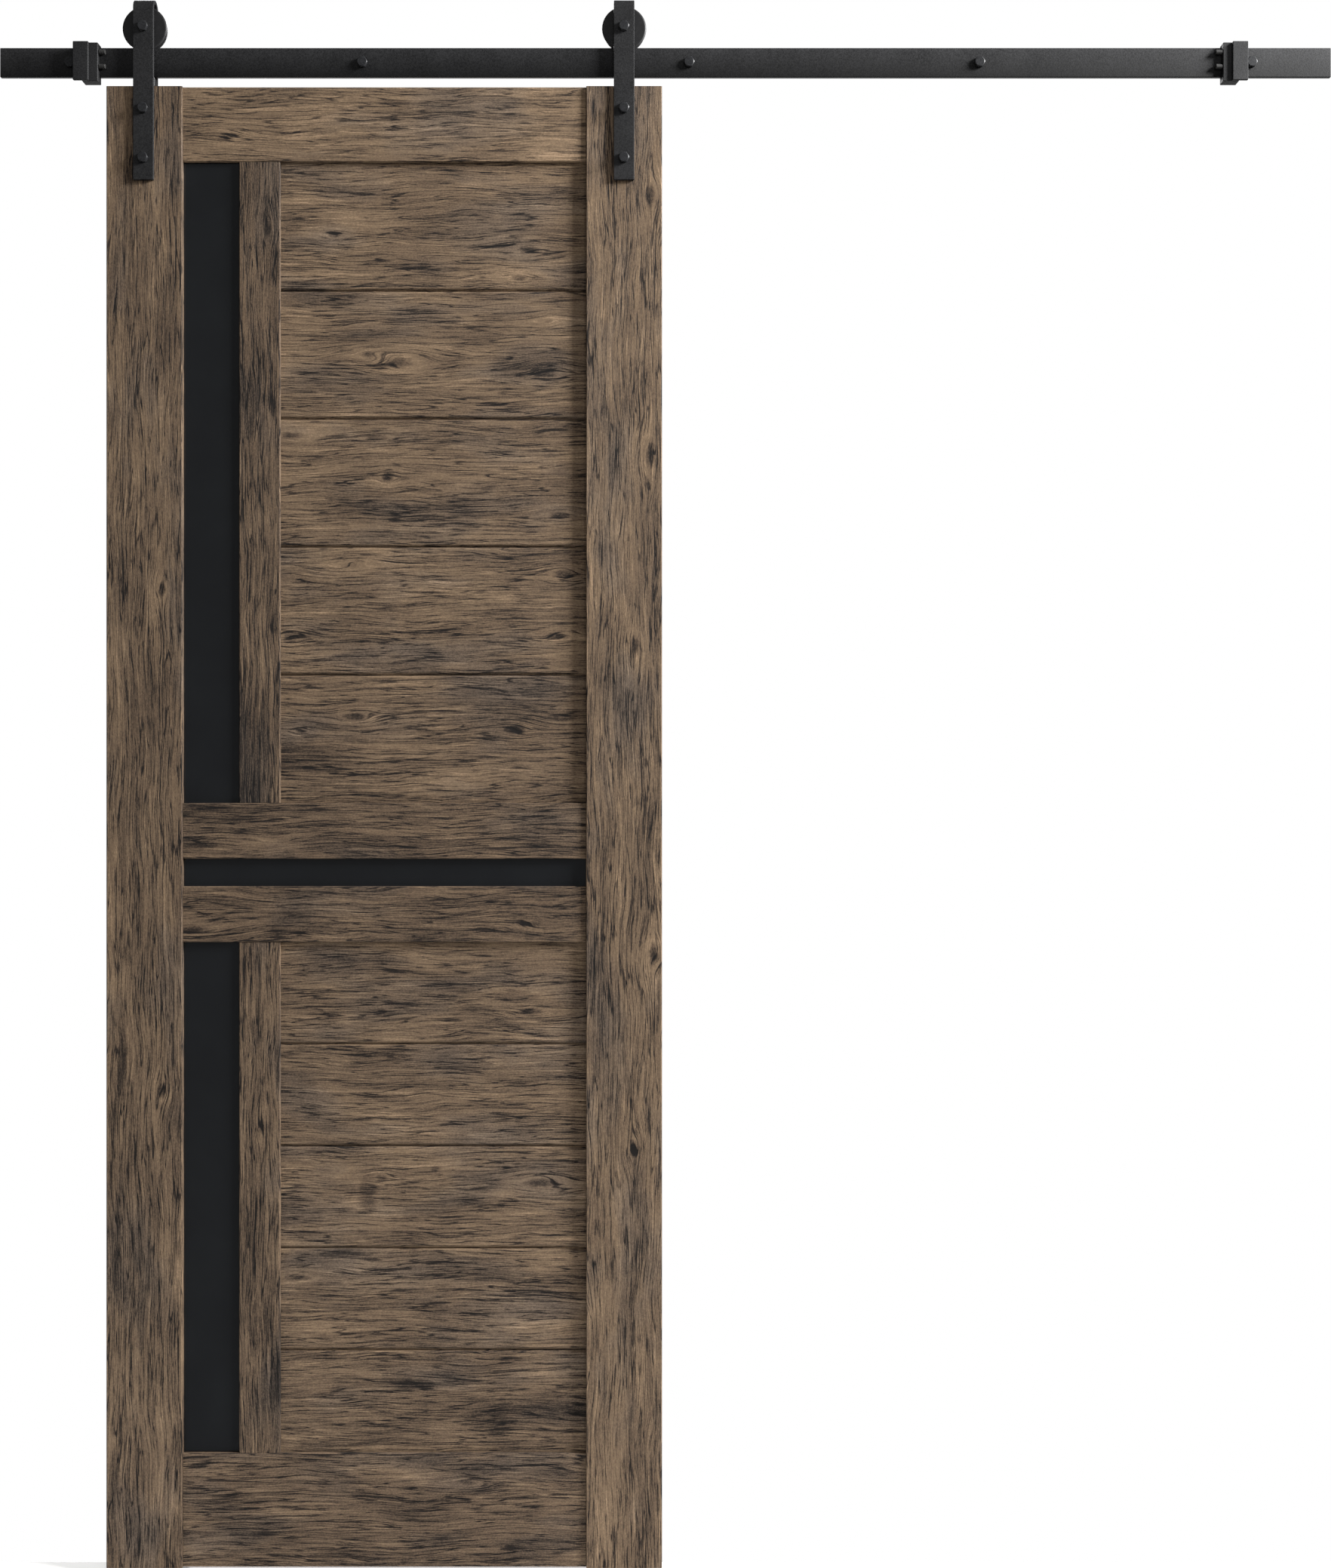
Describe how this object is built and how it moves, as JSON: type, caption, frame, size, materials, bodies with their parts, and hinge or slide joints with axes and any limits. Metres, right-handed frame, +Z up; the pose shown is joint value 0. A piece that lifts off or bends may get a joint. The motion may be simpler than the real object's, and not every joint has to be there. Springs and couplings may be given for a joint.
{
  "type": "sliding barn door with wall track",
  "caption": "Sliding barn door on a flat wall track: grooved wheels in bent strap hangers, end stops with bumpers, and a plank and black glass door leaf.",
  "frame": {"origin": "on the wall plane, at the middle of the track's length and height", "axes": "+X along the track to the right as seen from the room, +Y into the wall, +Z up"},
  "size_m": [1.829, 0.0749, 2.1516],
  "materials": {
    "black_steel": "matt black powder coat with a fine grain",
    "black_fastener": "black coated hex fasteners, a little smoother than the steel",
    "bearing_steel": "ground bearing steel",
    "black_nylon": "turned black nylon, matt",
    "rubber": "moulded black rubber",
    "rustic_oak": "grey-brown rustic oak with knots, cracks and an open grain",
    "black_glass": "opaque black glass, polished"
  },
  "bodies": {
    "track": {"lag_screw_1": "black_fastener", "lag_screw_2": "black_fastener", "lag_screw_3": "black_fastener", "lag_screw_4": "black_fastener", "lag_screw_5": "black_fastener", "left_lower_bumper": "rubber", "left_stop_body": "black_steel", "left_stop_plate": "black_steel", "left_upper_bumper": "rubber", "right_lower_bumper": "rubber", "right_stop_body": "black_steel", "right_stop_plate": "black_steel", "right_upper_bumper": "rubber", "track_rail": "black_steel", "wall_spacer_1": "black_steel", "wall_spacer_2": "black_steel", "wall_spacer_3": "black_steel", "wall_spacer_4": "black_steel", "wall_spacer_5": "black_steel"},
    "carriage": {"bottom_rail": "rustic_oak", "left_anti_jump_block": "black_nylon", "left_axle_bolt": "black_fastener", "left_axle_nut": "black_fastener", "left_hanger_strap": "black_steel", "left_lower_barrel_nut": "black_fastener", "left_lower_door_bolt": "black_fastener", "left_stile": "rustic_oak", "left_upper_barrel_nut": "black_fastener", "left_upper_door_bolt": "black_fastener", "lower_glass": "black_glass", "lower_mid_rail": "rustic_oak", "lower_mullion": "rustic_oak", "lower_plank_1": "rustic_oak", "lower_plank_2": "rustic_oak", "lower_plank_3": "rustic_oak", "lower_plank_4": "rustic_oak", "lower_plank_5": "rustic_oak", "middle_glass": "black_glass", "right_anti_jump_block": "black_nylon", "right_axle_bolt": "black_fastener", "right_axle_nut": "black_fastener", "right_hanger_strap": "black_steel", "right_lower_barrel_nut": "black_fastener", "right_lower_door_bolt": "black_fastener", "right_stile": "rustic_oak", "right_upper_barrel_nut": "black_fastener", "right_upper_door_bolt": "black_fastener", "top_rail": "rustic_oak", "upper_glass": "black_glass", "upper_mid_rail": "rustic_oak", "upper_mullion": "rustic_oak", "upper_plank_1": "rustic_oak", "upper_plank_2": "rustic_oak", "upper_plank_3": "rustic_oak", "upper_plank_4": "rustic_oak", "upper_plank_5": "rustic_oak"},
    "left_wheel": {"left_wheel": "black_nylon", "left_wheel_bearing": "bearing_steel"},
    "right_wheel": {"right_wheel": "black_nylon", "right_wheel_bearing": "bearing_steel"}
  },
  "joints": [
    {"name": "door_slide", "type": "slide", "parent": "track", "child": "carriage", "axis": [1, 0, 0], "range_m": [-0.039, 0.797]},
    {"name": "left_wheel_spin", "type": "hinge", "parent": "carriage", "child": "left_wheel", "pos_m": [-0.7148, -0.03547, 0.0453], "axis": [0, 1, 0], "continuous": true},
    {"name": "right_wheel_spin", "type": "hinge", "parent": "carriage", "child": "right_wheel", "pos_m": [-0.0568, -0.03547, 0.0453], "axis": [0, 1, 0], "continuous": true}
  ],
  "couplings": [
    {"joint": "left_wheel_spin", "follows": "door_slide", "rad_per_m": 40},
    {"joint": "right_wheel_spin", "follows": "door_slide", "rad_per_m": 40}
  ]
}
